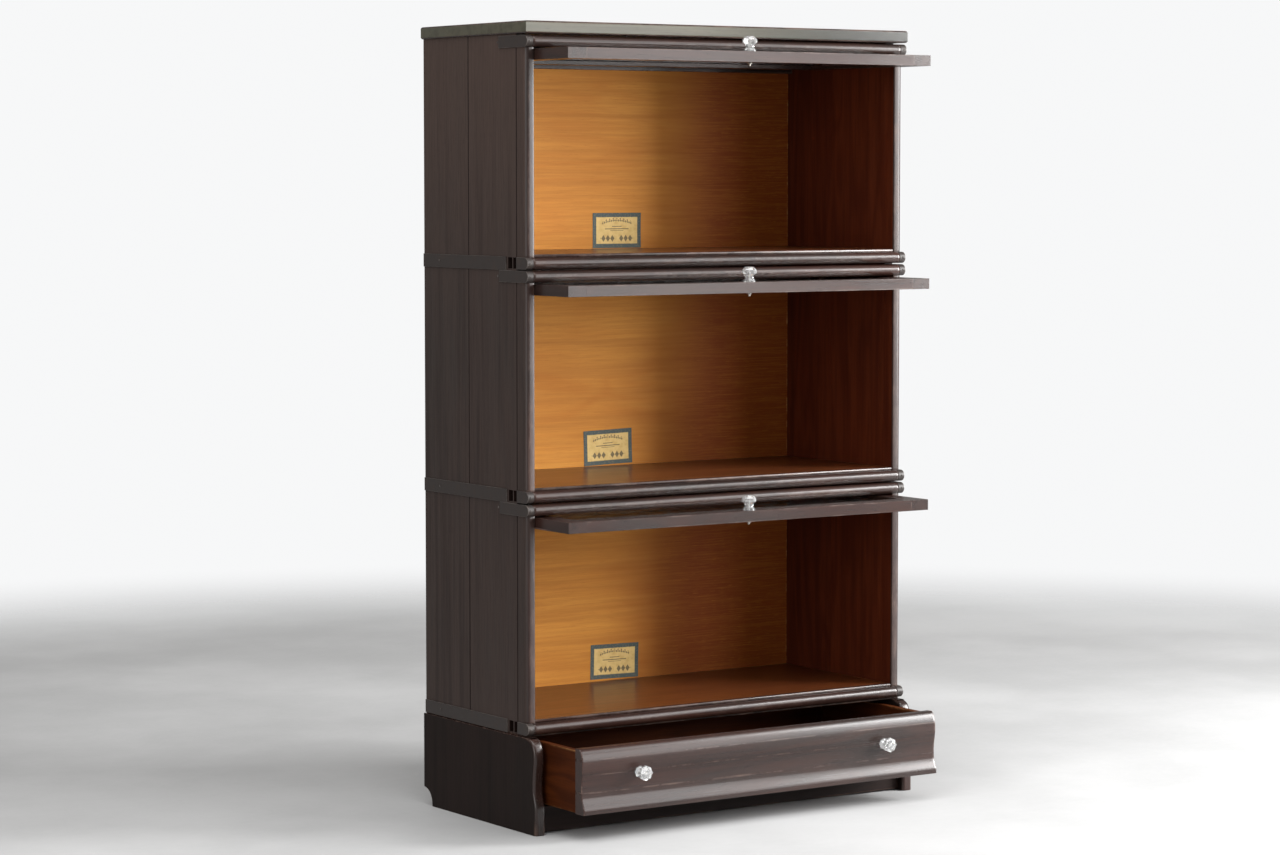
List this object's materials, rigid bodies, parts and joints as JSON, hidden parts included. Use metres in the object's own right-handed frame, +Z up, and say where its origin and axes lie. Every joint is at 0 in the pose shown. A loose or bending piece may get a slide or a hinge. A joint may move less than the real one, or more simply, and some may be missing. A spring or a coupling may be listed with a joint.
{
  "type": "barrister bookcase",
  "caption": "Sectional bookcase: stacked sections with glass doors that lift and slide back, on a drawer base with an ogee front, under a flat top.",
  "frame": {"origin": "on the floor, at the middle of the footprint as posed: doors up and part pushed in, drawer part open", "axes": "+Z up, +X to the right of someone facing the doors, the doors and drawer face -Y"},
  "size_m": [0.864, 0.5336, 1.468],
  "materials": {
    "dark_wood": "semi-gloss dark stain over hardwood, worn on the mouldings",
    "inner_wood": "orange-brown varnish, wavy grain running across",
    "drawer_wood": "satin red-brown",
    "dark_iron": "dull blackened iron",
    "steel": "satin",
    "knob_glass": "clear pressed glass, faceted",
    "pane_glass": "clear flat glass",
    "label_paper": "aged yellow paper with a dark green-grey border"
  },
  "bodies": {
    "case": {"top_slab": "dark_wood", "paper_labels": "label_paper", "base_side_left": "dark_wood", "base_side_right": "dark_wood", "base_front_rail": "dark_wood", "base_back": "drawer_wood", "base_top": "drawer_wood", "drawer_runners": "drawer_wood", "side_left_1": "dark_wood", "side_right_1": "dark_wood", "back_panel_1": "inner_wood", "shelf_1": "inner_wood", "upper_rail_1": "dark_wood", "lower_rail_1": "dark_wood", "back_rail_1": "inner_wood", "corner_irons_1": "dark_iron", "side_left_2": "dark_wood", "side_right_2": "dark_wood", "back_panel_2": "inner_wood", "shelf_2": "inner_wood", "upper_rail_2": "dark_wood", "lower_rail_2": "dark_wood", "back_rail_2": "inner_wood", "corner_irons_2": "dark_iron", "side_left_3": "dark_wood", "side_right_3": "dark_wood", "back_panel_3": "inner_wood", "shelf_3": "inner_wood", "upper_rail_3": "dark_wood", "lower_rail_3": "dark_wood", "back_rail_3": "inner_wood", "corner_irons_3": "dark_iron"},
    "door_carriage_1": {"door_pivots_1": "steel"},
    "door_1": {"door_stiles_1": "dark_wood", "door_rail_top_1": "dark_wood", "door_rail_bottom_1": "dark_wood", "door_glass_1": "pane_glass", "door_knob_1": "knob_glass", "knob_bolt_1": "steel"},
    "door_carriage_2": {"door_pivots_2": "steel"},
    "door_2": {"door_stiles_2": "dark_wood", "door_rail_top_2": "dark_wood", "door_rail_bottom_2": "dark_wood", "door_glass_2": "pane_glass", "door_knob_2": "knob_glass", "knob_bolt_2": "steel"},
    "door_carriage_3": {"door_pivots_3": "steel"},
    "door_3": {"door_stiles_3": "dark_wood", "door_rail_top_3": "dark_wood", "door_rail_bottom_3": "dark_wood", "door_glass_3": "pane_glass", "door_knob_3": "knob_glass", "knob_bolt_3": "steel"},
    "drawer": {"drawer_front": "dark_wood", "drawer_side_left": "drawer_wood", "drawer_side_right": "drawer_wood", "drawer_back": "drawer_wood", "drawer_bottom": "drawer_wood", "drawer_knobs": "knob_glass", "drawer_knob_bolts": "steel"}
  },
  "joints": [
    {"name": "door_slide_1", "type": "slide", "parent": "case", "child": "door_carriage_1", "axis": [0, -1, 0], "range_m": [-0.064, 0.231]},
    {"name": "door_swing_1", "type": "hinge", "parent": "door_carriage_1", "child": "door_1", "pos_m": [0, 0.14977, 1.4083], "axis": [1, 0, 0], "range_deg": [0, 90]},
    {"name": "door_slide_2", "type": "slide", "parent": "case", "child": "door_carriage_2", "axis": [0, -1, 0], "range_m": [-0.064, 0.231]},
    {"name": "door_swing_2", "type": "hinge", "parent": "door_carriage_2", "child": "door_2", "pos_m": [0, 0.14977, 0.9863], "axis": [1, 0, 0], "range_deg": [0, 90]},
    {"name": "door_slide_3", "type": "slide", "parent": "case", "child": "door_carriage_3", "axis": [0, -1, 0], "range_m": [-0.064, 0.231]},
    {"name": "door_swing_3", "type": "hinge", "parent": "door_carriage_3", "child": "door_3", "pos_m": [0, 0.14977, 0.5643], "axis": [1, 0, 0], "range_deg": [0, 90]},
    {"name": "drawer_slide", "type": "slide", "parent": "case", "child": "drawer", "axis": [0, -1, 0], "range_m": [-0.112, 0.188]}
  ]
}
